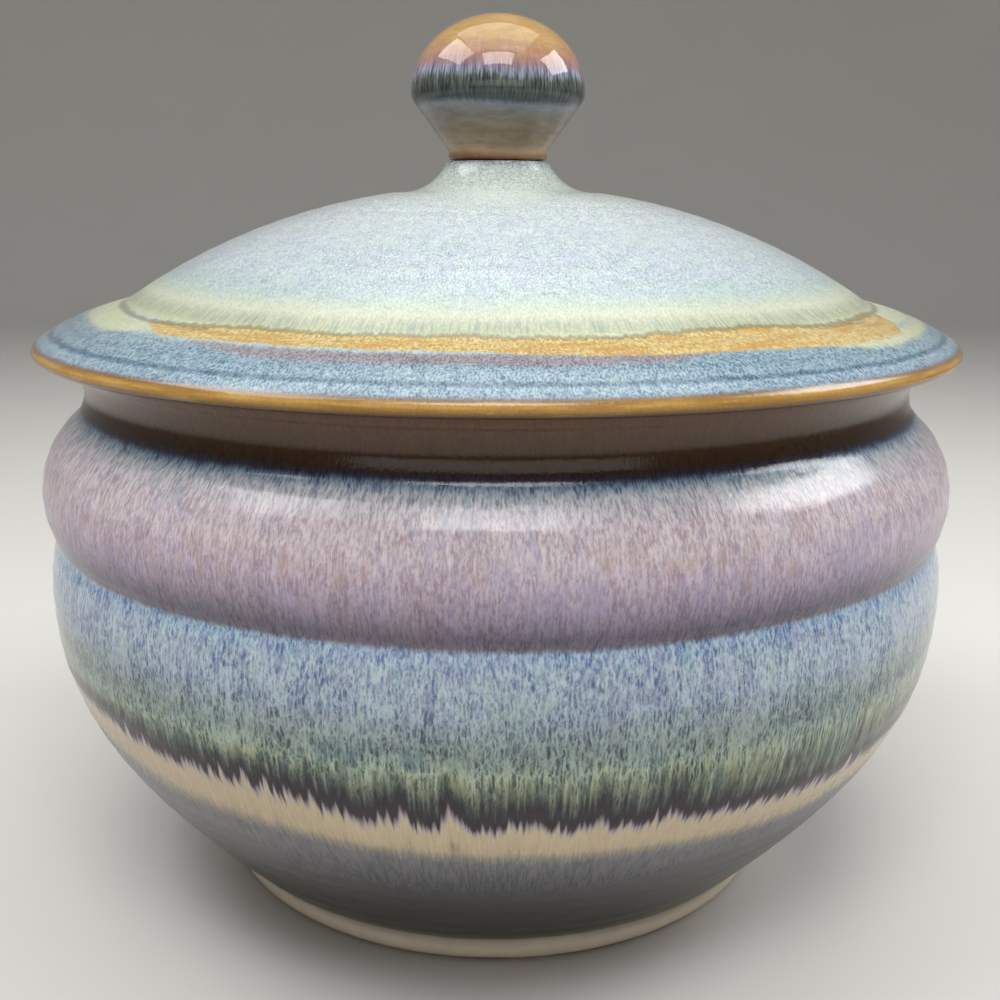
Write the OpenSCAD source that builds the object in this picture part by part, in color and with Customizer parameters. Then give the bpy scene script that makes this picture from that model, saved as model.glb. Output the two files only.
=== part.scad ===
// Covered stoneware casserole: a thrown bowl on a turned foot ring, and a loose domed lid
// with a locating flange under it and a ball knob on top.
// Millimetres, +Z up. The origin is on the axis, at the plane that the foot ring stands on.

/* [Foot ring] */
// Width of the foot ring across its flat underside
foot_d = 150; // [120:1:170]
// Height of the foot ring
foot_h = 7; // [5:0.5:14]
// Thickness of the foot ring from inside to outside, at its joint
foot_t = 9.5; // [7:0.5:16]
// How far the side of the foot ring bulges out
foot_bulge = 1.9; // [0.5:0.1:3]
// How far the foot ring widens from its underside to its joint
foot_lean = 0.6; // [0:0.1:2]
// Bevel on the inner edge of the foot ring's underside
foot_bevel = 2; // [1:0.1:4]

/* [Bowl] */
// Diameter of the bowl at its widest, the belly
belly_d = 238.6; // [220:0.2:280]
// Height of the widest part of the belly above the table
belly_z = 83; // [74:1:110]
// How far the belly's curve keeps close to upright below its widest part
belly_lead = 25.4; // [15:0.2:32]
// How far the bowl's wall stands out past the foot ring's joint
wall_step = 4; // [1:0.5:6]
// Height of the tuck between the foot ring's joint and the wall
wall_tuck = 1.2; // [0.6:0.1:3]
// Lean of the wall where it leaves the tuck, in degrees from upright
wall_lean = 43; // [30:1:52]
// How far the wall keeps close to that lean
wall_lead = 47.5; // [30:0.5:56]
// Height of the groove between belly and shoulder above the widest part of the belly
groove_up = 13.3; // [9:0.1:20]
// Depth of that groove, measured in from the belly
groove_depth = 2.3; // [1:0.1:4]
// How far the shoulder roll stands out from the groove
shoulder_out = 2.8; // [1.5:0.1:5]
// Radius of the shoulder roll, seen from the side
shoulder_curve = 23; // [18:1:30]
// How far the neck is drawn in from the shoulder
neck_in = 11.4; // [8:0.2:15]
// Radius of the hollow of the neck, seen from the side
neck_curve = 10; // [7:1:14]
// How far the lip flares out from the neck
lip_flare = 2.4; // [1:0.1:4]
// Height of the lip above the narrowest part of the neck
lip_rise = 10.8; // [10:0.2:18]
// Rounding of the lip's edges
lip_round = 1.6; // [0.8:0.1:2.4]
// Thickness of the bowl's wall
wall = 6; // [4.5:0.5:9]
// Thickness of the bowl's floor
floor_t = 7; // [5:0.5:12]

/* [Lid] */
// How far the lid's brim hangs out past the lip
brim_over = 9.2; // [5:0.2:14]
// Thickness of the brim's rounded edge
rim_t = 4; // [3:0.2:5]
// How far the brim's edge hangs down past the seat
rim_drop = 2.1; // [0.5:0.1:2.8]
// How far the lid's flat seat reaches out past the lip
seat_over = 1.5; // [0.5:0.1:3]
// How far the foot of the dome lies in from the edge of the lip
dome_in = 12.8; // [11.4:0.2:20]
// Height of the foot of the dome above the seat
brim_rise = 10; // [8:0.5:14]
// How much the brim is crowned
brim_crown = 1.2; // [0.5:0.1:1.8]
// Height of the dome, from its foot to where the collar begins
dome_rise = 27.7; // [20:0.5:36]
// How much the dome is crowned
dome_crown = 4.5; // [3:0.1:5.5]
// Thickness of the dome
lid_wall = 6; // [4.5:0.5:8]
// Diameter where the collar leaves the dome
collar_base_d = 54; // [44:1:70]
// Height of the collar
collar_h = 8; // [5:0.5:14]
// Depth of the hollow in the collar's side
collar_hollow = 2.6; // [1.5:0.1:3.2]

/* [Locating flange] */
// How far the flange reaches down into the neck
flange_h = 13; // [8:0.5:20]
// Thickness of the flange
flange_t = 5.5; // [4:0.5:8]
// Play between the flange and the neck, on each side
flange_play = 2.8; // [1:0.1:4]
// Bevel on the flange's lower edges
flange_bevel = 1.5; // [0.5:0.1:1.8]

/* [Knob] */
// Diameter of the knob at its widest
knob_d = 45.6; // [36:0.2:60]
// Diameter of the knob's neck
knob_neck_d = 26; // [20:0.2:32]
// Height of the straight part of the knob's neck
knob_neck_h = 2.6; // [1:0.1:5]
// Height of the widest part of the knob above its joint
knob_low_h = 17.1; // [14:0.1:28]
// Height of the top of the knob above its widest part
knob_top_h = 19.6; // [12:0.1:26]
// Radius of the turn from the knob's sloping underside to its widest part
knob_round = 4; // [2:0.5:8]
// How far the collar stands out past the knob's neck at the joint
joint_step = 0.4; // [0.2:0.1:1]

/* [Hidden] */

// Facets of a full turn, and straight steps along each arc of an outline
$fn = 144;
arc_steps = 16;

// Foot ring: its flat runs between two edges, and its top meets the bowl's flat underside
foot_edge_r = foot_d / 2;
foot_joint_r = foot_edge_r + foot_lean;
foot_inner_r = foot_joint_r - foot_t;

// Belly: one curve from the tuck to the widest part, then an arc in to the groove
wall_base = [foot_joint_r + wall_step, foot_h + wall_tuck];
wall_aim = wall_base + wall_lead * [sin(wall_lean), cos(wall_lean)];
belly_aim = [belly_d / 2, belly_z - belly_lead];
belly = [belly_d / 2, belly_z];
groove = [belly_d / 2 - groove_depth, belly_z + groove_up];
upper_curve = drop_radius(groove_depth, groove_up);

// Shoulder roll: its circle passes through the groove
shoulder_r = groove[0] + shoulder_out;
shoulder_lead = sqrt(pow(shoulder_curve, 2) - pow(shoulder_curve - shoulder_out, 2));
shoulder_c = [shoulder_r - shoulder_curve, groove[1] + shoulder_lead];

// Neck: a hollow circle that touches the shoulder's circle
neck_r = shoulder_r - neck_in;
neck_reach = neck_r + neck_curve - shoulder_c[0];
neck_lift = sqrt(pow(shoulder_curve + neck_curve, 2) - pow(neck_reach, 2));
neck_c = [neck_r + neck_curve, shoulder_c[1] + neck_lift];
neck_a = atan2(neck_lift, neck_reach);

// Lip and mouth: the lid sits on the lip's flat top
lip_r = neck_r + lip_flare;
lip_a = acos((neck_curve - lip_flare) / neck_curve);
seat_z = neck_c[1] + lip_rise;
mouth_r = neck_r - wall;

// Inside of the bowl: a cove turns from the flat floor into the wall, this share of the way up it
cove_t = 0.12;
floor_z = foot_h + floor_t;
cove_top = wall_at(cove_t) + wall * left_of(wall_dir(cove_t));
cove_a = atan2(wall_dir(cove_t)[1], wall_dir(cove_t)[0]);
cove_r = (cove_top[1] - floor_z) / (1 - cos(cove_a));
cove_c = [cove_top[0] - cove_r * sin(cove_a), floor_z + cove_r];
inner_roll = shoulder_curve - wall;
inner_lead_a = asin(shoulder_lead / inner_roll);

// Lid: the rim's rounding turns by this angle above level before the brim takes over
rim_top_a = 56;
lid_r = lip_r + brim_over;
rim_c = [lid_r - rim_t / 2, seat_z - rim_drop + rim_t / 2];
rim_top = rim_c + rim_t / 2 * [cos(rim_top_a), sin(rim_top_a)];
seat_r = lip_r + seat_over;
dome_foot = [lip_r - dome_in, seat_z + brim_rise];
collar_foot = [collar_base_d / 2, dome_foot[1] + dome_rise];
collar_top = [knob_neck_d / 2 + joint_step, collar_foot[1] + collar_h];
dome_c = bow_centre(dome_foot, collar_foot, dome_crown);
under_curve = norm(dome_foot - dome_c) - lid_wall;

// Locating flange: it clears the mouth by its play, and is flush with the lid's hollow
flange_r = mouth_r - flange_play;
hollow_r = flange_r - flange_t;
flange_low = seat_z - flange_h;
hollow_a = acos((hollow_r - dome_c[0]) / under_curve);
crest_r = max(dome_c[0], 0);
crest_a = acos((crest_r - dome_c[0]) / under_curve);

// Knob: it stands on the collar's flat top, and its underside slopes straight from the neck to the turn
knob_z = collar_top[1];
knob_neck = [knob_neck_d / 2, knob_z + knob_neck_h];
knob_waist = [knob_d / 2, knob_z + knob_low_h];
knob_turn_c = knob_waist - [knob_round, 0];
knob_slope = knob_turn_c - knob_neck;
knob_slope_a = atan2(knob_slope[1], knob_slope[0]) - asin(knob_round / norm(knob_slope));

// Radius of an arc that leaves a vertical line and is this far in at this height
function drop_radius(in, height) = (pow(in, 2) + pow(height, 2)) / (2 * in);

// Points along an arc of a circle
function arc(c, r, from, to) =
    [for (i = [0 : arc_steps])
        let (a = from + (to - from) * i / arc_steps)
        c + r * [cos(a), sin(a)]];

// The wall's cubic curve: the point at t, from the tuck at 0 to the belly at 1
function wall_at(t) =
    let (s = 1 - t)
    s * s * s * wall_base + 3 * s * s * t * wall_aim + 3 * s * t * t * belly_aim + t * t * t * belly;

// The direction of that curve at t, as a unit vector
function wall_dir(t) =
    let (s = 1 - t)
    unit(s * s * (wall_aim - wall_base) + 2 * s * t * (belly_aim - wall_aim) + t * t * (belly - belly_aim));

// Points along that curve, set in to the left of its way by a thickness
function wall_curve(thickness, from, to) =
    [for (i = [0 : 2 * arc_steps])
        let (t = from + (to - from) * i / (2 * arc_steps))
        wall_at(t) + thickness * left_of(wall_dir(t))];

// Points along an arc of an ellipse
function ellipse_arc(c, rx, rz, from, to) =
    [for (i = [0 : arc_steps])
        let (a = from + (to - from) * i / arc_steps)
        c + [rx * cos(a), rz * sin(a)]];

// A vector's unit vector, and the unit vectors to its right and to its left
function unit(v) = v / norm(v);
function right_of(u) = [u[1], -u[0]];
function left_of(u) = -right_of(u);

// Centre of the arc from p to q whose middle stands sag to the right of the straight line
function bow_radius(p, q, sag) = (pow(norm(q - p) / 2, 2) + pow(sag, 2)) / (2 * sag);
function bow_centre(p, q, sag) =
    (p + q) / 2 + right_of(unit(q - p)) * (sag - bow_radius(p, q, sag));

// Points along that arc
function bow(p, q, sag) =
    let (u = unit(q - p), n = right_of(u), r = bow_radius(p, q, sag), half = asin(norm(q - p) / 2 / r))
    [for (i = [0 : arc_steps])
        let (a = half * (2 * i / arc_steps - 1))
        bow_centre(p, q, sag) + r * (n * cos(a) + u * sin(a))];

// The outside of the bowl, from the foot ring's joint up to the lip
function bowl_outside() = concat(
    [[foot_joint_r, foot_h]],
    wall_curve(0, 0, 1),
    arc([belly_d / 2 - upper_curve, belly_z], upper_curve, 0, asin(groove_up / upper_curve)),
    arc(shoulder_c, shoulder_curve, -asin(shoulder_lead / shoulder_curve), neck_a),
    arc(neck_c, neck_curve, neck_a + 180, 180 - lip_a));

// The lip, from its outer side over its flat top to the mouth
function lip_edge() = concat(
    arc([lip_r - lip_round, seat_z - lip_round], lip_round, 0, 90),
    arc([mouth_r + lip_round, seat_z - lip_round], lip_round, 90, 180));

// The inside of the bowl, from the mouth down to the middle of the floor
function bowl_inside() = concat(
    arc(neck_c, neck_curve + wall, 180, neck_a + 180),
    arc(shoulder_c, inner_roll, neck_a, -inner_lead_a),
    wall_curve(wall, 1, cove_t),
    arc(cove_c, cove_r, cove_a - 90, -90),
    [[0, floor_z]]);

// The bowl: belly, groove, shoulder roll, neck and lip in one wall
module bowl() {
    color("lightsteelblue")
        rotate_extrude()
            polygon(concat([[0, foot_h]], bowl_outside(), lip_edge(), bowl_inside()));
}

// The foot ring, luted to the bowl's underside
module foot_ring() {
    color("antiquewhite")
        rotate_extrude()
            polygon(concat(
                bow([foot_edge_r, 0], [foot_joint_r, foot_h], foot_bulge),
                [[foot_inner_r, foot_h],
                 [foot_inner_r, foot_bevel],
                 [foot_inner_r + foot_bevel, 0]]));
}

// The lid: rounded rim, crowned brim, dome and collar, with a flat seat underneath
module lid() {
    color("powderblue")
        rotate_extrude()
            polygon(concat(
                [[hollow_r, seat_z], [seat_r, seat_z]],
                arc(rim_c, rim_t / 2, -90, rim_top_a),
                bow(rim_top, dome_foot, brim_crown),
                bow(dome_foot, collar_foot, dome_crown),
                bow(collar_foot, collar_top, -collar_hollow),
                [[0, collar_top[1]], [0, dome_c[1] + under_curve * sin(crest_a)]],
                arc(dome_c, under_curve, crest_a, hollow_a)));
}

// The locating flange, luted under the lid and loose in the neck
module locating_flange() {
    color("saddlebrown")
        rotate_extrude()
            polygon([
                [hollow_r, seat_z],
                [hollow_r, flange_low + flange_bevel],
                [hollow_r + flange_bevel, flange_low],
                [flange_r - flange_bevel, flange_low],
                [flange_r, flange_low + flange_bevel],
                [flange_r, seat_z]]);
}

// The ball knob, luted on the collar
module knob() {
    color("peru")
        rotate_extrude()
            polygon(concat(
                [[0, knob_z], [knob_neck[0], knob_z], knob_neck],
                arc(knob_turn_c, knob_round, knob_slope_a - 90, 0),
                ellipse_arc([0, knob_waist[1]], knob_waist[0], knob_top_h, 0, 90)));
}

bowl();
foot_ring();
lid();
locating_flange();
knob();
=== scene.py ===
"""A covered stoneware casserole: turned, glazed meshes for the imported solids, in a plain studio.

Lengths are in millimetres, and are scaled to metres where a mesh, lamp or camera is made.
"""

import math

import bmesh
import bpy
import numpy as np
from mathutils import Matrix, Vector


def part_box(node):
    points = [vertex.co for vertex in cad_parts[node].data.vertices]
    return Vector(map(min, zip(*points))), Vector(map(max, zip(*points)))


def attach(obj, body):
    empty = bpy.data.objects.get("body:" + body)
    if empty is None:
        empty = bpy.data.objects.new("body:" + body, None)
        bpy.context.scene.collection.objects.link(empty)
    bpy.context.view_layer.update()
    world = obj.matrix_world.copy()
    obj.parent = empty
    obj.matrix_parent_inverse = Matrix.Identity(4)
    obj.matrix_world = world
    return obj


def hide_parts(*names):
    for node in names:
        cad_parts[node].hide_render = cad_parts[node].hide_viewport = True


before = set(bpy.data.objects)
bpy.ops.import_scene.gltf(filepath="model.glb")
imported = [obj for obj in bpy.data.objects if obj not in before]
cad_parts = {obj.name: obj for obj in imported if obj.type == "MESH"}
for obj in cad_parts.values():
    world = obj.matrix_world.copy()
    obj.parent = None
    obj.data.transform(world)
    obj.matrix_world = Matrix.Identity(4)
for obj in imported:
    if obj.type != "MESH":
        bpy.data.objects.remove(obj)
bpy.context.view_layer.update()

MM = 0.001

# Meshes: the plane that outlines are cut in, the step of a softened outline, columns round the axis
CUT_TURN = 0.2371
WELD = 1e-7
FINE_STEP = 0.2
COLUMNS = 400

# Rows along an outline: where it shows, and where the lid or the table hides it
SHOWN_STEP = 1.1
HIDDEN_STEP = 3.4

# Zones of an outline, each with its own finish
OUTSIDE, INSIDE, BARE = range(3)


def node_box(node):
    """A node's lowest and highest corner, in millimetres."""
    low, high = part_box(node)
    return np.array(low) / MM, np.array(high) / MM


SEAT_Z = node_box("bowl")[1][2]
FOOT_TOP = node_box("foot_ring")[1][2]
KNOB_Z = node_box("knob")[0][2]
LID_R = node_box("lid")[1][0]


# Outlines

def cut_loop(node):
    """The closed outline, as (across, height), that a plane through the axis cuts from a node."""
    shape = bmesh.new()
    shape.from_mesh(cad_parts[node].data)
    bmesh.ops.remove_doubles(shape, verts=shape.verts, dist=WELD)
    out = Vector((math.cos(CUT_TURN), math.sin(CUT_TURN), 0))
    cut = bmesh.ops.bisect_plane(
        shape,
        geom=shape.verts[:] + shape.edges[:] + shape.faces[:],
        plane_co=Vector(),
        plane_no=Vector((-out.y, out.x, 0)),
        dist=WELD,
    )
    beside = {}
    for edge in cut["geom_cut"]:
        if isinstance(edge, bmesh.types.BMEdge):
            a, b = edge.verts
            beside.setdefault(a, []).append(b)
            beside.setdefault(b, []).append(a)
    start = max(beside, key=lambda v: v.co @ out)
    loop = [start, beside[start][0]]
    while True:
        onward = next(v for v in beside[loop[-1]] if v is not loop[-2])
        if onward is start:
            break
        loop.append(onward)
    points = np.array([(v.co @ out, v.co.z) for v in loop]) / MM
    shape.free()
    return points


def half_outline(node):
    """A node's outline at positive radius, anticlockwise, and whether it closes on itself.

    An outline that meets the axis starts and ends there, and goes from its underside to its top side.
    """
    loop = cut_loop(node)
    x, z = loop.T
    if np.sum(x * np.roll(z, -1) - np.roll(x, -1) * z) < 0:
        loop = loop[::-1]
    right = loop[:, 0] > 0
    if right.all():
        return loop, True
    first = np.flatnonzero(right & ~np.roll(right, 1))[0]
    half = np.roll(loop, -first, axis=0)[: right.sum()]
    ends = half[[0, -1]] * (0, 1)
    return np.vstack([ends[:1], half, ends[1:]]), False


def soften(outline, closed, rounding):
    """The outline at a fine even step, with its corners rounded as a coat of glaze rounds them."""
    if closed:
        outline = np.vstack([outline, outline[:1]])
    far = np.r_[0, np.cumsum(np.hypot(*np.diff(outline, axis=0).T))]
    places = np.linspace(0, far[-1], int(far[-1] / FINE_STEP), endpoint=not closed)
    even = np.column_stack([np.interp(places, far, c) for c in outline.T])
    reach = int(4 * rounding / FINE_STEP)
    if closed:
        longer = np.vstack([even[-reach:], even, even[:reach]])
    else:
        mirrored = even * (-1, 1)
        longer = np.vstack([mirrored[reach:0:-1], even, mirrored[-2 : -reach - 2 : -1]])
    bell = np.exp(-0.5 * (np.arange(-reach, reach + 1) * FINE_STEP / rounding) ** 2)
    return np.column_stack([np.convolve(c, bell / bell.sum(), "valid") for c in longer.T])


def thin_out(outline, closed, steps):
    """The outline's points at the given steps, one for each of its fine points."""
    gone = np.r_[0, np.cumsum(FINE_STEP / steps)][:-1]
    count = int(round(gone[-1])) + 1
    wanted = np.linspace(0, gone[-1], count, endpoint=not closed)
    return np.column_stack([np.interp(wanted, gone, c) for c in outline.T])


def rows(node, rounding, hidden):
    """A node's softened outline, with fewer points where hidden(outline) says that it doesn't show."""
    outline, closed = half_outline(node)
    soft = soften(outline, closed, rounding)
    steps = np.where(hidden(soft), HIDDEN_STEP, SHOWN_STEP)
    return thin_out(soft, closed, steps), closed


def after_top(outline):
    """For each point, whether it comes after the outline's highest one."""
    return np.arange(len(outline)) > outline[:, 1].argmax()


def before_rim(outline):
    """For each point, whether it comes before the outline's widest one."""
    return np.arange(len(outline)) < outline[:, 0].argmax()


# Turned meshes

def spun(outline):
    """Radius, height and turn of the points of a mesh spun from an outline, as rows by columns."""
    turn = np.arange(COLUMNS) * 2 * math.pi / COLUMNS
    r, z = (np.repeat(c[:, None], COLUMNS, axis=1) for c in outline.T)
    return r, z, np.repeat(turn[None, :], len(outline), axis=0)


def normals_of(outline, closed):
    """Unit normals of an anticlockwise outline, pointing out of the clay."""
    if closed:
        along = np.roll(outline, -1, axis=0) - np.roll(outline, 1, axis=0)
    else:
        along = np.gradient(outline, axis=0)
    out = np.column_stack([along[:, 1], -along[:, 0]])
    return out / np.linalg.norm(out, axis=1)[:, None]


def spun_faces(outline, closed):
    """For each face, its row and its corners as (point, across, along), which unroll the mesh."""
    count = len(outline)
    far = np.r_[0, np.cumsum(np.hypot(*np.diff(outline, axis=0).T))]
    along = np.r_[far, far[-1] + SHOWN_STEP] / (far[-1] + SHOWN_STEP)
    for i in range(count if closed else count - 1):
        low, high = i * COLUMNS, (i + 1) % count * COLUMNS
        for j in range(COLUMNS):
            n = (j + 1) % COLUMNS
            left, right = j / COLUMNS, (j + 1) / COLUMNS
            corners = [
                (low + j, left, along[i]),
                (low + n, right, along[i]),
                (high + n, right, along[i + 1]),
                (high + j, left, along[i + 1]),
            ]
            if not closed and i == 0:
                corners = [(low, (left + right) / 2, along[i])] + corners[2:]
            elif not closed and i == count - 2:
                corners = corners[:2] + [(high, (left + right) / 2, along[i + 1])]
            yield i, corners


def turned(name, outline, closed, zones, lift, marks, materials):
    """A mesh spun from an outline.

    lift moves its points out of the clay, marks are named numbers that its materials read at each
    point, and zones picks a material for each row.
    """
    r, z, turn = spun(outline)
    out = normals_of(outline, closed)
    radius, height = r + lift * out[:, :1], z + lift * out[:, 1:]
    points = np.stack([radius * np.cos(turn), radius * np.sin(turn), height], axis=-1)
    points = points.reshape(-1, 3) * MM
    faces, unrolled, finish = [], [], []
    for row, corners in spun_faces(outline, closed):
        faces.append([c[0] for c in corners])
        unrolled.extend(c[1:] for c in corners)
        finish.append(zones[row])
    used = np.unique(np.concatenate([np.array(f) for f in faces]))
    renumber = np.full(len(points), -1)
    renumber[used] = np.arange(len(used))
    mesh = bpy.data.meshes.new(name)
    mesh.from_pydata(points[used], [], [renumber[f].tolist() for f in faces])
    mesh.uv_layers.new(name="OFBake").data.foreach_set("uv", np.array(unrolled).ravel())
    for mark, value in marks.items():
        mesh.attributes.new(mark, "FLOAT", "POINT").data.foreach_set("value", value.reshape(-1)[used])
    for material in materials:
        mesh.materials.append(material)
    mesh.polygons.foreach_set("material_index", finish)
    mesh.polygons.foreach_set("use_smooth", [True] * len(faces))
    piece = bpy.data.objects.new(name, mesh)
    bpy.context.scene.collection.objects.link(piece)
    return piece


def stand_for(piece, node, body):
    """The piece replaces a node and rides on its body."""
    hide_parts(node)
    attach(piece, body)


def from_front(turn):
    """Degrees to the right of the front, from -180 to 180, for turns from +X."""
    return (np.degrees(turn) + 270) % 360 - 180


def wave(degrees, parts):
    """A sum of waves round the axis, each given by its count, its height and where it is highest."""
    return sum(height * np.cos(count * np.radians(degrees - top)) for count, height, top in parts)


def spiral(way, pitch, turn):
    """From -1 to 1, the height of ridges that wind round the axis, one pitch further on each turn."""
    return np.sin(2 * math.pi * way / pitch - turn)


def step_up(value, low, high):
    """0 below low, 1 above high, and smooth between them."""
    t = np.clip((value - low) / (high - low), 0, 1)
    return t * t * (3 - 2 * t)


# Shader nodes

def linear(hex_colour):
    """A colour written as six hex digits, as Blender's linear red, green, blue and alpha."""
    parts = [int(hex_colour[i : i + 2], 16) / 255 for i in (0, 2, 4)]
    return [p / 12.92 if p <= 0.04045 else ((p + 0.055) / 1.055) ** 2.4 for p in parts] + [1]


class Shader:
    """One material's nodes. Each call adds nodes and gives back an output."""

    def __init__(self, name):
        self.material = bpy.data.materials.new(name)
        self.material.use_nodes = True
        self.nodes = self.material.node_tree.nodes
        self.links = self.material.node_tree.links
        self.nodes.clear()
        spot = self.add("TexCoord").outputs["Object"]
        self.place = self.add("VectorMath", {0: spot, "Scale": 1 / MM}, operation="SCALE").outputs[0]

    def add(self, kind, inputs=(), **settings):
        made = self.nodes.new("ShaderNode" + kind)
        for key, value in settings.items():
            setattr(made, key, value)
        for key, value in dict(inputs).items():
            if isinstance(value, bpy.types.NodeSocket):
                self.links.new(value, made.inputs[key])
            else:
                made.inputs[key].default_value = value
        return made

    def maths(self, operation, a, b=0.0):
        return self.add("Math", {0: a, 1: b}, operation=operation).outputs[0]

    def plus(self, a, b):
        return self.maths("ADD", a, b)

    def times(self, a, b):
        return self.maths("MULTIPLY", a, b)

    def vector(self, operation, a, b):
        return self.add("VectorMath", {0: a, 1: b}, operation=operation).outputs[0]

    def mark(self, name):
        """A named number that the mesh holds at each point."""
        return self.add("Attribute", attribute_name=name).outputs["Fac"]

    def flow(self, run, radius):
        """Coordinates round the axis at one radius and along the glaze's run, without a seam."""
        flat = self.vector("MULTIPLY", self.place, (1, 1, 0))
        unit = self.add("VectorMath", {0: flat}, operation="NORMALIZE").outputs[0]
        around = self.vector("MULTIPLY", unit, (radius, radius, 0))
        return self.vector("ADD", around, self.add("CombineXYZ", {"Z": run}).outputs[0])

    def sized(self, vector, width, length):
        """Coordinates in which one unit is a width round the axis and a length along it."""
        return self.vector("MULTIPLY", vector, (1 / width, 1 / width, 1 / length))

    def noise(self, vector, detail=2.0, roughness=0.5):
        inputs = {"Vector": vector, "Scale": 1.0, "Detail": detail, "Roughness": roughness}
        return self.add("TexNoise", inputs).outputs["Fac"]

    def grain(self, vector, width, length, low=0.32, high=0.68):
        """A mask of fine grains, each about a width round the axis and a length along it."""
        return self.spread(self.noise(self.sized(vector, width, length), 3, 0.6), low, high)

    def wobbled(self, vector, reach):
        """The vector, bent about by a slow noise."""
        inputs = {"Vector": vector, "Scale": 0.7, "Detail": 1.0}
        bend = self.vector("SUBTRACT", self.add("TexNoise", inputs).outputs["Color"], (0.5, 0.5, 0.5))
        return self.vector("ADD", vector, self.vector("MULTIPLY", bend, (reach, reach, reach)))

    def edges(self, vector):
        """Distance to the nearest border between cells of about one unit."""
        inputs = {"Vector": vector, "Scale": 1.0}
        return self.add("TexVoronoi", inputs, feature="DISTANCE_TO_EDGE").outputs["Distance"]

    def spread(self, value, low, high, to_low=0.0, to_high=1.0, smooth=True):
        inputs = {
            "Value": value,
            "From Min": low,
            "From Max": high,
            "To Min": to_low,
            "To Max": to_high,
        }
        kind = "SMOOTHSTEP" if smooth else "LINEAR"
        return self.add("MapRange", inputs, interpolation_type=kind).outputs[0]

    def mix(self, share, a, b):
        """Two colours, mixed by the share of the second."""
        return self.add("Mix", {0: share, 6: a, 7: b}, data_type="RGBA").outputs[2]

    def blend(self, share, a, b):
        """Two numbers, mixed by the share of the second."""
        return self.add("Mix", {0: share, 2: a, 3: b}, data_type="FLOAT").outputs[0]

    def ramp(self, value, stops):
        """Colours, as hex digits, or numbers from 0 to 1, at places along a value."""
        low, high = stops[0][0], stops[-1][0]
        made = self.add("ValToRGB", {0: self.spread(value, low, high, smooth=False)})
        elements = made.color_ramp.elements
        while len(elements) < len(stops):
            elements.new(0.5)
        for element, (at, stop) in zip(elements, stops):
            element.position = (at - low) / (high - low)
            element.color = linear(stop) if isinstance(stop, str) else (stop, stop, stop, 1)
        return made.outputs[0]

    def banded(self, place, bands, share):
        """The bands' two colours at a place along the run, mixed by the share of the second."""
        under = self.ramp(place, [(at, low) for at, low, high in bands])
        over = self.ramp(place, [(at, high) for at, low, high in bands])
        return self.mix(share, under, over)

    def bump(self, height, depth):
        """A normal from a height of 0 to 1 that stands for a depth in millimetres."""
        return self.add("Bump", {"Height": height, "Strength": 1.0, "Distance": depth * MM}).outputs[0]

    def finish(self, colour, roughness, normal=None):
        inputs = {"Base Color": colour, "Roughness": roughness}
        if normal is not None:
            inputs["Normal"] = normal
        shader = self.add("BsdfPrincipled", inputs).outputs[0]
        self.add("OutputMaterial", {"Surface": shader})
        return self.material


# Bowl glaze

# Up the outside of the bowl: height, the glaze beneath, the paler glaze that floats in it, with painted
# shade low on the belly and in the groove under the shoulder
BOWL_BANDS = [
    # Up to 48 the bands darken towards the foot: a grey-blue glaze, darkened further as painted shade
    # under the belly.
    (26, "1f1e1d", "2d2b2a"),
    (32, "292829", "3d3b3c"),
    (38, "313036", "504f54"),
    (48, "57575c", "7a797c"),
    (50, "7c776e", "958e82"),
    (52.6, "baa788", "c5b396"),
    (59.4, "c3b192", "cfbd9e"),
    (60.8, "a59c96", "bab1aa"),
    (62.3, "62585f", "7d747a"),
    (63.2, "1c1019", "2e1e29"),
    (66, "170d16", "291d27"),
    (67.6, "1a2224", "4a5250"),
    (69.6, "20302b", "828a76"),
    (71.8, "243630", "b4c2ac"),
    (73.4, "1c3038", "a4b6ae"),
    (76, "12283a", "94a6a0"),
    (79, "203a52", "a6b5b5"),
    (84, "3f567c", "b4c4d0"),
    (91, "556995", "c2d0d7"),
    (95.6, "466ca4", "b9cfdd"),
    # 96.6 and 99: where the mauve of the shoulder meets the blue, in the groove under the shoulder
    #              roll, darkened as painted shade.
    (96.6, "514655", "797380"),
    (99, "463e4e", "6f687c"),
    (104, "79697c", "a99cae"),
    (110, "9c8798", "cdbfce"),
    (115.5, "a8949c", "d7cdd1"),
    (119.5, "a7959e", "daced3"),
    (123.2, "908e9a", "d8d2d6"),
    (125, "758ca9", "dddddd"),
    (126.4, "3e516f", "a1bdd5"),
    (127.6, "1a1c30", "343e56"),
    (129, "2c1807", "3a220c"),
    (137.9, "4a2b10", "5a3816"),
]
BOWL_RADIUS = 115

# Along the same heights: the shares of short flecks, of looped cells and of the drips, and the
# roughness
FLECKS = [
    (70, 0.2), (84, 0.5), (92, 0.8), (96, 1.0),
    (97.5, 0.5), (112, 0.6), (121, 0.9), (129, 1.0),
]
LOOPS = [
    (61, 0.0), (66, 0.4), (76, 0.42), (88, 0.3),
    (96, 0.2), (97.5, 0.0), (120, 0.0), (123, 0.3), (128, 0.3),
]
RAGGED = [
    (36, 0.0), (46, 0.1), (52, 0.2), (55, 1.0),
    (65, 1.0), (69, 0.6), (74, 0.3), (80, 0.06), (90, 0.05),
]
GLOSS = [
    (8, 0.2), (46, 0.22), (52, 0.26), (60, 0.14),
    (94, 0.12), (100, 0.2), (118, 0.18), (126, 0.12), (130, 0.1),
]

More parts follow.
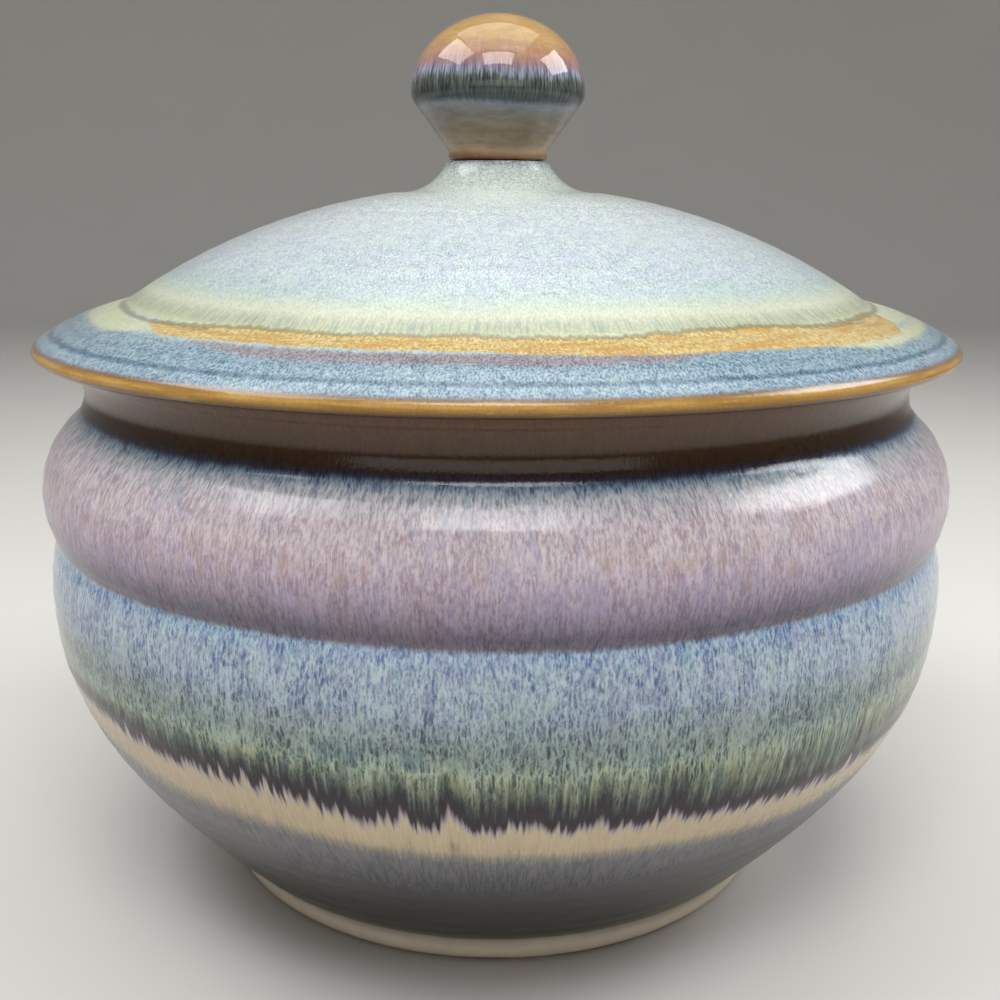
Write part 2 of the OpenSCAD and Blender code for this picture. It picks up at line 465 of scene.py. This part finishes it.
# Tints that drift through the glaze: height, the two ways that they drift, and their share
TINTS = [
    (66, "6a7048", "34585e"),
    (70.5, "acb68c", "4a6a66"),
    (75, "a4aea4", "4a7080"),
    (84, "8a8eae", "a4baa8"),
    (90, "9698bc", "a2bcb8"),
    (95, "9694ba", "96bcca"),
    # 98: darker tints in the groove under the shoulder roll, painted shade.
    (98, "745f6c", "68667c"),
    (105, "a08c94", "9490b2"),
    (112, "bea494", "a6a0b4"),
    (117, "b6a4aa", "a19ec0"),
    (124, "9492aa", "86a4b6"),
]
TINT_SHARE = [
    (66, 0.0), (69, 0.45), (74, 0.45), (94, 0.4),
    (98, 0.2), (106, 0.5), (116, 0.5), (124, 0.3), (128, 0.0),
]

# The drips' edge sags round the bowl: how far along the run, and the waves of the sag
SAG = ([36, 50, 60, 70, 82], [0, 4.5, 8, 1.6, 0])
SAG_WAVES = [(2, 0.86, 23), (3, 0.2, 60), (5, 0.12, -20), (9, 0.1, 35)]
BOWL_WANDER = [(2, 0.3, 40), (3, 0.25, 100), (7, 0.2, 10)]

# Relief of the bowl: the pitch and height of its throwing rings and of the coils inside, and its coat
RING_PITCH, RING_HEIGHT = 5.2, 0.06
COIL_PITCH, COIL_HEIGHT = 8, 0.3
COAT = 0.25


def points_down(s, flow, width, length):
    """Millimetres between the glaze's edge and the points that it runs down to, about a width apart."""
    off = s.plus(s.noise(s.sized(flow, width, 90), detail=1, roughness=0.4), -0.5)
    return s.times(s.maths("ABSOLUTE", off), length / 0.15)


def drips(s, flow):
    """Millimetres that runs of glaze reach down, with gaps between their points."""
    gaps = s.plus(points_down(s, flow, 3.6, 3.4), points_down(s, flow, 1.5, 2.4))
    hairs = s.plus(s.noise(s.sized(flow, 0.45, 7)), -0.5)
    return s.plus(s.plus(s.times(gaps, -1), 3.9), s.times(hairs, 2))


def tinted(s, colour, flow, run):
    """The colour, drifting in streaks and patches to the tints on either side of it."""
    patch = s.plus(s.noise(s.sized(flow, 20, 10), detail=2), -0.5)
    drift = s.plus(s.noise(s.sized(flow, 2.2, 6), detail=4, roughness=0.65), s.times(patch, 0.5))
    share = s.ramp(run, TINT_SHARE)
    one = s.ramp(run, [(at, tint) for at, tint, other in TINTS])
    two = s.ramp(run, [(at, other) for at, tint, other in TINTS])
    colour = s.mix(s.times(s.spread(drift, 0.5, 0.68), share), colour, one)
    return s.mix(s.times(s.spread(drift, 0.5, 0.32), share), colour, two)


def bowl_glaze():
    s = Shader("bowl_glaze")
    run = s.mark("run")
    flow = s.flow(run, BOWL_RADIUS)
    place = s.plus(run, s.times(drips(s, flow), s.ramp(run, RAGGED)))
    mask = s.blend(s.ramp(run, FLECKS), s.grain(flow, 0.55, 4.5), s.grain(flow, 0.55, 1.6))
    cells = s.edges(s.sized(s.wobbled(flow, 1.1), 0.85, 3.4))
    mask = s.blend(s.ramp(run, LOOPS), mask, s.spread(cells, 0.02, 0.25, 1.0, 0.0))
    coarse = s.blend(0.5, s.grain(flow, 1.8, 8), s.grain(flow, 5, 12))
    mask = s.blend(0.14, s.blend(0.3, mask, coarse), s.grain(flow, 0.3, 0.6))
    mask = s.spread(mask, 0.12, 0.8)
    colour = tinted(s, s.banded(place, BOWL_BANDS, mask), flow, run)
    rough = s.plus(s.ramp(run, GLOSS), s.times(mask, 0.04))
    peel = s.noise(s.sized(s.place, 1.3, 1.3), detail=2)
    return s.finish(colour, rough, s.bump(s.plus(s.times(mask, 0.3), peel), 0.04))


# Lid glaze

# Out over the lid and on under its rim: radius, the glaze beneath, the paler glaze that floats in it,
# with a painted highlight and painted shade on the rim
LID_BANDS = [
    (13, "5c6f80", "b6c5c8"),
    (15, "9aa9aa", "dae3d7"),
    (27, "a3b2b1", "e1e9dd"),
    (36, "a1afb2", "e4ebe4"),
    (50, "93a2ae", "e1e8e5"),
    (80, "8699a8", "d5dedd"),
    (86, "89a2a8", "cbd7d2"),
    (89.5, "a6b5a8", "ced6c4"),
    (92, "b8bea6", "d4d8c2"),
    (94.4, "a7ad96", "c5c9b0"),
    (95.8, "a4a98d", "c2c5a6"),
    (97, "b0b596", "cccfb0"),
    (98.5, "a2b6ac", "c8d6c7"),
    (103, "8ca2a4", "c6d6d0"),
    (104.8, "8b9fa6", "c2d2d0"),
    (107, "4e677e", "a9c0c8"),
    (110.4, "415c74", "a6bec7"),
    (111.2, "3b566f", "98b2bd"),
    (112, "415c74", "a4bcc5"),
    (114.2, "425d76", "a6bec7"),
    (115, "28415c", "7490a1"),
    (115.6, "28415c", "7490a1"),
    (116.2, "4a6984", "b0c8d0"),
    (118.1, "566e84", "a8bcc6"),
    # From 119.6 the rim: a brown glaze, its gold outer face partly a painted highlight, and its
    # darkening to near black round the underside partly painted shade.
    (118.9, "6c5e58", "84766e"),
    (119.6, "9a743a", "aa8448"),
    (120.3, "c2984e", "d2a860"),
    (121.2, "a87c34", "ba8e46"),
    (122, "6a4a18", "765620"),
    (122.8, "3a270d", "443013"),
    (124, "221508", "2a1b0d"),
    (130, "20140a", "281a10"),
]
LID_RADIUS = 105
LID_WANDER = [(2, 0.4, 130), (3, 0.3, 30), (5, 0.2, 80)]
CLOUDED = [
    (28, 0.0), (45, 1.0), (84, 1.0), (92, 0.15),
    (108, 0.15), (112, 0.4), (117, 0.4), (118, 0.0),
]
LID_GLOSS = [(13, 0.12), (80, 0.14), (97, 0.18), (108, 0.1), (118, 0.1), (120, 0.07)]
FRAYED = [(84, 1.0), (117, 1.0), (118.5, 0.0)]
HEM = [(92, 0.0), (94, 0.55), (95.2, 0.75), (96.4, 0.6), (97.2, 0.0)]
RIM = [(118.6, 0.0), (119.4, 1.0), (121.6, 1.0), (122.6, 0.0)]

# Arcs on the brim: from and to in degrees to the right of the front, inner and outer radius, and the
# degrees over which each end tapers
GOLD_ARCS = [(-54, 69, 97.4, 104.5, 12), (104, 242, 97.4, 105, 30)]
MAUVE_ARCS = [(-40, 32, 105.4, 109.8, 16), (124, 196, 105.6, 109.4, 16)]
CREAM_ARCS = [(-140, -36, 98.8, 106.6, 22), (34, 96, 106.4, 110.6, 16), (50, 132, 98.8, 106.4, 22)]
BRIM_WANDER = [(3, 0.4, 15), (7, 0.4, 80), (11, 0.3, 30)]

# How much wider the gold is to the right of the front, and the pitch and height of the lid's rings
GOLD_SWELL = 3.4
LID_PITCH, LID_RINGS = 6.5, 0.035


def arc_depth(r, degrees, arcs):
    """How deep each point lies inside the nearest of the tapering arcs, below 0 outside them all."""
    fade = 4
    best = np.full(r.shape, -1e3)
    for start, end, inner, outer, taper in arcs:
        ahead = (degrees - (start + end) / 2 + 180) % 360 - 180
        left = (end - start) / 2 - np.abs(ahead)
        half = (outer - inner) / 2 * step_up(left, 0, taper)
        beyond = fade * step_up(fade - left, 0, 2 * fade)
        best = np.maximum(best, half - np.abs(r - inner - half) - beyond)
    return best


def gold_on(s, colour, flow, run, fray, cream):
    """The colour with the gold arcs over it, and the dark rill along their inner edge."""
    drift = s.plus(s.times(fray, 2), s.times(s.noise(s.sized(flow, 7, 30)), 1.6))
    gold = s.plus(s.mark("gold"), drift)
    inner = s.spread(run, 101.5, 99.5)
    rill = s.times(s.spread(s.maths("ABSOLUTE", s.plus(gold, -0.8)), 0.9, 0.2, 0, 0.6), inner)
    seam = s.times(s.spread(s.maths("ABSOLUTE", s.plus(cream, 0.6)), 1.3, 0.3, 0, 0.6), inner)
    sand = s.mix(s.grain(flow, 0.5, 1.0), linear("aa9052"), linear("e0cc94"))
    rust = s.spread(s.noise(s.sized(flow, 14, 2.6), 3), 0.45, 0.7, 0, 0.65)
    sand = s.mix(rust, sand, linear("bc8c44"))
    colour = s.mix(s.spread(gold, 0.3, 1.4), colour, sand)
    return s.mix(s.maths("MAXIMUM", rill, seam), colour, linear("716a48"))


def clouds_on(s, colour, run):
    """The colour, drifting in clouds to lilac and to pale green over the dome."""
    share = s.ramp(run, CLOUDED)
    clouds = s.noise(s.sized(s.place, 6, 6), detail=4, roughness=0.65)
    colour = s.mix(s.times(s.spread(clouds, 0.5, 0.7, 0, 0.45), share), colour, linear("b8bdd4"))
    return s.mix(s.times(s.spread(clouds, 0.5, 0.3, 0, 0.45), share), colour, linear("c0d5ca"))


def brim_on(s, colour, flow, run, fray, mask):
    """The colour with the hem of the dome and the cream, mauve and gold arcs of the brim over it."""
    brush = s.grain(flow, 0.7, 6, 0.46, 0.62)
    colour = s.mix(s.times(brush, s.ramp(run, HEM)), colour, linear("8a9e92"))
    cream = s.plus(s.mark("cream"), s.times(fray, 3))
    custard = s.mix(mask, linear("bcbf9a"), linear("dcdfba"))
    colour = s.mix(s.spread(cream, -1.2, 1.2, 0, 0.8), colour, custard)
    mauve = s.plus(s.mark("mauve"), s.times(fray, 2.5))
    plum = s.mix(mask, linear("6e5e64"), linear("a6999d"))
    colour = s.mix(s.spread(mauve, -1, 1.2, 0, 0.8), colour, plum)
    return gold_on(s, colour, flow, run, fray, cream)


def rim_on(s, colour, flow, run):
    """The colour, mottled with darker and paler amber along the rim."""
    share = s.ramp(run, RIM)
    amber = s.noise(s.sized(flow, 16, 2), detail=4, roughness=0.6)
    colour = s.mix(s.times(s.spread(amber, 0.44, 0.64, 0, 0.42), share), colour, linear("7e541e"))
    return s.mix(s.times(s.spread(amber, 0.44, 0.32, 0, 0.3), share), colour, linear("dcbc80"))


def lid_glaze():
    s = Shader("lid_glaze")
    run = s.mark("run")
    flow = s.flow(run, LID_RADIUS)
    fray = s.plus(s.noise(s.sized(flow, 1.2, 8), detail=3), -0.5)
    place = s.plus(run, s.times(fray, s.ramp(run, FRAYED)))
    dots = s.grain(s.place, 0.52, 0.52, 0.36, 0.62)
    strokes = s.grain(flow, 0.38, 0.68, 0.34, 0.64)
    mask = s.blend(0.2, s.blend(s.spread(run, 45, 75), dots, strokes), s.grain(s.place, 2.4, 2.4))
    colour = clouds_on(s, s.banded(place, LID_BANDS, mask), run)
    colour = brim_on(s, colour, flow, run, fray, mask)
    colour = rim_on(s, colour, flow, run)
    rough = s.plus(s.ramp(run, LID_GLOSS), s.times(mask, 0.04))
    height = s.plus(s.times(mask, 0.4), s.noise(s.sized(s.place, 1.3, 1.3), detail=2))
    return s.finish(colour, rough, s.bump(height, 0.035))


# Knob glaze

# Up the knob: height above its joint, the glaze beneath, the paler glaze that floats in it
KNOB_BANDS = [
    (0, "5a3016", "6a3e20"),
    (0.9, "82562e", "94663c"),
    (2.2, "a28668", "b09476"),
    (4, "88735a", "98846c"),
    (7, "6f5c48", "80705a"),
    (11, "6a6058", "7c746c"),
    (13.2, "666b74", "7e848c"),
    (14.4, "24282d", "3e454c"),
    (16, "23292a", "515a55"),
    (19.2, "323837", "6e776e"),
    (20.6, "434c5b", "a8b3be"),
    (21.6, "605e7c", "aba7c0"),
    (22.8, "866a74", "b08e90"),
    (25.2, "a27a60", "bc947c"),
    (29, "ae8a58", "c09e6a"),
    (36.7, "ac8a58", "bc9a66"),
]
KNOB_RADIUS = 22
KNOB_WANDER = [(2, 0.35, 60), (3, 0.25, 10)]


def knob_glaze():
    s = Shader("knob_glaze")
    run = s.mark("run")
    flow = s.flow(run, KNOB_RADIUS)
    fray = s.ramp(run, [(2, 0.1), (10, 0.1), (16, 0.3), (19, 1.0), (23, 1.0), (28, 0.3)])
    teeth = s.noise(s.sized(flow, 0.8, 9), detail=3, roughness=0.6)
    place = s.plus(run, s.times(s.times(s.plus(teeth, -0.5), 6), fray))
    rings = s.noise(s.sized(s.place, 5, 1.4), detail=3, roughness=0.6)
    smooth = s.ramp(run, [(12, 1.0), (15, 0.0), (23, 0.0), (27, 0.85)])
    mask = s.blend(smooth, s.grain(flow, 0.5, 5), s.spread(rings, 0.3, 0.7))
    colour = s.banded(place, KNOB_BANDS, mask)
    blush = s.spread(s.noise(s.sized(flow, 1.2, 6), detail=3), 0.48, 0.66)
    veil = s.ramp(run, [(22, 0.0), (25, 0.45), (29, 0.25), (34, 0.05)])
    colour = s.mix(s.times(blush, veil), colour, linear("9c7468"))
    rough = s.ramp(run, [(0, 0.1), (13, 0.12), (20, 0.06), (30, 0.07)])
    return s.finish(colour, rough, s.bump(s.noise(s.sized(s.place, 2.4, 2.4), detail=1), 0.02))


# Foot glaze, liner and bare clay

# Up the foot ring: height, the clay or glaze beneath, the paler glaze that floats in it, with painted
# light on its pale face and painted shade in the tuck at its top
FOOT_BANDS = [
    (0, "8c6044", "a47c5e"),
    (0.8, "9c7557", "b28d71"),
    # 1.5 to 4: the pale cream glaze of the foot, made paler still as painted light bounced up onto it.
    (1.5, "d6c6ae", "e4d6c0"),
    (4, "daccb6", "e8dcc8"),
    # 6 to 7.2: darker into the tuck under the bowl, painted shade.
    (6, "aaa08a", "bcb29e"),
    (7.2, "383a33", "464840"),
]


def foot_glaze():
    s = Shader("foot_glaze")
    run = s.mark("run")
    teeth = s.noise(s.sized(s.flow(run, 76), 6, 6), detail=3)
    place = s.plus(run, s.times(s.plus(teeth, -0.5), 1.2))
    mask = s.noise(s.sized(s.place, 3.3, 3.3), detail=4, roughness=0.6)
    colour = s.banded(place, FOOT_BANDS, mask)
    rough = s.spread(place, 0.6, 1.8, 0.6, 0.2)
    return s.finish(colour, rough, s.bump(mask, 0.06))


def liner_glaze():
    s = Shader("liner_glaze")
    clouds = s.noise(s.sized(s.place, 33, 17), detail=4, roughness=0.6)
    specks = s.noise(s.sized(s.place, 1.2, 1.2), detail=2)
    colour = s.mix(s.spread(clouds, 0.35, 0.65), linear("3a2618"), linear("55402a"))
    colour = s.mix(s.spread(specks, 0.6, 0.75, 0, 0.5), colour, linear("2a1c14"))
    rough = s.spread(clouds, 0.3, 0.7, 0.08, 0.18)
    return s.finish(colour, rough, s.bump(specks, 0.04))


def bare_clay():
    s = Shader("bare_clay")
    grains = s.noise(s.sized(s.place, 0.7, 0.7), detail=3, roughness=0.65)
    clouds = s.noise(s.sized(s.place, 20, 20), detail=3)
    colour = s.mix(s.spread(clouds, 0.35, 0.65), linear("8f735a"), linear("a98d70"))
    colour = s.mix(s.spread(grains, 0.6, 0.75, 0, 0.6), colour, linear("5c4636"))
    rough = s.spread(grains, 0.3, 0.7, 0.75, 0.9)
    return s.finish(colour, rough, s.bump(grains, 0.12))


# Pieces

def make_bowl(finishes):
    outline, closed = rows("bowl", 0.5, lambda o: after_top(o) | (o[:, 1] < FOOT_TOP + 0.2))
    zones = np.where(after_top(outline), INSIDE, OUTSIDE)
    bare = (outline[:, 1] > SEAT_Z - 0.25) | (outline[:, 1] < FOOT_TOP + 0.15)
    zones[bare] = BARE
    inner = (zones == INSIDE)[:, None]
    outer = (zones == OUTSIDE)[:, None]
    r, z, turn = spun(outline)
    degrees = from_front(turn)
    run = z + np.interp(z, *SAG) * wave(degrees, SAG_WAVES)
    run += wave(degrees, BOWL_WANDER) * step_up(137 - z, 0, 10)
    thrown = RING_HEIGHT * spiral(z, RING_PITCH, turn) * outer * step_up(z, 10, 16)
    coil = COIL_HEIGHT * spiral(z, COIL_PITCH, turn) * inner * step_up(SEAT_Z - z, 22, 40)
    coat = COAT * step_up(run, 58, 61) * outer * step_up(SEAT_Z - z, 8, 30)
    lift = thrown + coil + coat
    piece = turned("bowl_body", outline, closed, zones, lift, {"run": run}, finishes)
    stand_for(piece, "bowl", "pot")


def make_foot_ring(finishes):
    outline, closed = rows("foot_ring", 0.35, lambda o: o[:, 0] < 70)
    zones = np.where(outline[:, 1] < 0.4, BARE, OUTSIDE)
    r, z, turn = spun(outline)
    piece = turned("foot_ring_body", outline, closed, zones, 0 * r, {"run": z}, finishes)
    stand_for(piece, "foot_ring", "pot")


def lid_run(outline):
    """How far the glaze has run at each point: the radius up to the rim, then the way round it."""
    far = np.r_[0, np.cumsum(np.hypot(*np.diff(outline, axis=0).T))]
    edge = np.flatnonzero(outline[:, 0] > LID_R - 2)[-1]
    beyond = np.arange(len(outline)) < edge
    return np.where(beyond, outline[edge, 0] + far[edge] - far, outline[:, 0])


def make_lid(finishes):
    outline, closed = rows("lid", 0.5, lambda o: before_rim(o) & (o[:, 0] < LID_R - 8))
    under = before_rim(outline)
    seat = under & (np.abs(outline[:, 1] - SEAT_Z) < 0.3)
    seat_edge = outline[seat, 0].max()
    zones = np.where(under & (outline[:, 0] < seat_edge), INSIDE, OUTSIDE)
    zones[seat] = BARE
    outer = (zones == OUTSIDE)[:, None]
    r, z, turn = spun(outline)
    degrees = from_front(turn)
    run = lid_run(outline)[:, None] + 0 * r
    run += wave(degrees, LID_WANDER) * step_up(117 - r, 0, 5) * step_up(r, 30, 60)
    rings = spiral(r, LID_PITCH, turn) * step_up(r, 30, 40) * step_up(118 - r, 0, 6)
    lift = LID_RINGS * rings * outer
    swayed = r + wave(degrees, BRIM_WANDER)
    swell = GOLD_SWELL * step_up(degrees, -10, 34) * step_up(100 - degrees, 0, 20)
    marks = {
        "run": run,
        "gold": arc_depth(swayed - swell * step_up(r, 97, 104), degrees, GOLD_ARCS),
        "mauve": arc_depth(swayed, degrees, MAUVE_ARCS),
        "cream": arc_depth(swayed, degrees, CREAM_ARCS),
    }
    piece = turned("lid_body", outline, closed, zones, lift, marks, finishes)
    stand_for(piece, "lid", "lid")


def make_flange(finishes):
    outline, closed = rows("locating_flange", 0.4, lambda o: o[:, 0] > 0)
    zones = np.full(len(outline), INSIDE)
    piece = turned("flange_body", outline, closed, zones, 0 * spun(outline)[0], {}, finishes)
    stand_for(piece, "locating_flange", "lid")


def make_knob(finishes):
    outline, closed = rows("knob", 0.6, lambda o: o[:, 1] < KNOB_Z + 0.1)
    zones = np.full(len(outline), OUTSIDE)
    r, z, turn = spun(outline)
    run = z - KNOB_Z + wave(from_front(turn), KNOB_WANDER)
    piece = turned("knob_body", outline, closed, zones, 0 * r, {"run": run}, finishes)
    stand_for(piece, "knob", "lid")


def make_dish():
    liner = liner_glaze()
    clay = bare_clay()
    make_bowl([bowl_glaze(), liner, clay])
    make_foot_ring([foot_glaze(), liner, clay])
    make_lid([lid_glaze(), liner, clay])
    make_flange([liner, liner, clay])
    make_knob([knob_glaze(), liner, clay])


# Studio

# Lamps: name, place, size and watts, all aimed at the middle of the dish
MIDDLE = (0, 0, 110)
LAMPS = [
    ("front_box", (0, -560, 900), (520, 320), 3.7),
    ("low_box", (0, -1000, 330), (1400, 260), 0.9),
    ("left_box", (-540, -50, 840), (640, 340), 3.6),
    ("right_box", (710, 50, 660), (500, 340), 4.0),
    ("over_box", (0, 60, 1250), (1100, 1100), 6.5),
]

# Camera: its place, and how far it looks down and rolls, in radians
CAMERA_AT = (0.6, -336, 181.4)
LOOK_DOWN, ROLL = 0.2485, -0.0045


def sweep():
    """A round pale floor that curves up all round into a backdrop."""
    inner, flat, bend, top, columns = 1400, 1500, 700, 3200, 240
    bends = np.linspace(0, math.pi / 2, 25)
    line = [(inner, 0)]
    line += [(flat + bend * math.sin(a), bend - bend * math.cos(a)) for a in bends]
    line.append((flat + bend, top))
    turns = np.arange(columns) * 2 * math.pi / columns
    points = [(r * math.cos(t) * MM, r * math.sin(t) * MM, z * MM) for r, z in line for t in turns]
    faces = [list(range(columns))]
    for low in range(0, len(points) - columns, columns):
        for j in range(columns):
            n = (j + 1) % columns
            faces.append([low + n, low + j, low + columns + j, low + columns + n])
    mesh = bpy.data.meshes.new("studio_sweep")
    mesh.from_pydata(points, [], faces)
    mesh.polygons.foreach_set("use_smooth", [True] * len(faces))
    s = Shader("studio_paper")
    tooth = s.noise(s.sized(s.place, 100, 100), detail=3)
    colour = s.mix(tooth, linear("d6d4d0"), linear("dad8d4"))
    mesh.materials.append(s.finish(colour, 0.9))
    floor = bpy.data.objects.new("studio_sweep", mesh)
    bpy.context.scene.collection.objects.link(floor)


def lamp(name, place, size, watts):
    """A soft rectangular lamp, aimed at the middle of the dish."""
    data = bpy.data.lights.new(name, "AREA")
    data.shape = "RECTANGLE"
    data.size, data.size_y = size[0] * MM, size[1] * MM
    data.energy = watts
    made = bpy.data.objects.new(name, data)
    made.location = Vector(place) * MM
    aim = Vector(MIDDLE) - Vector(place)
    made.rotation_euler = aim.to_track_quat("-Z", "Y").to_euler()
    bpy.context.scene.collection.objects.link(made)


def lights():
    for name, place, size, watts in LAMPS:
        lamp(name, place, size, watts)
    world = bpy.data.worlds.new("studio")
    world.use_nodes = True
    background = world.node_tree.nodes["Background"]
    background.inputs["Color"].default_value = linear("d8d8d8")
    background.inputs["Strength"].default_value = 0.22
    bpy.context.scene.world = world


def camera():
    data = bpy.data.cameras.new("camera")
    data.sensor_width = 36
    data.lens = 44
    data.clip_start = 0.01
    made = bpy.data.objects.new("camera", data)
    made.location = Vector(CAMERA_AT) * MM
    made.rotation_euler = (math.pi / 2 - LOOK_DOWN, ROLL, 0)
    bpy.context.scene.collection.objects.link(made)
    bpy.context.scene.camera = made


make_dish()
sweep()
lights()
camera()
bpy.context.scene.view_settings.view_transform = "Standard"
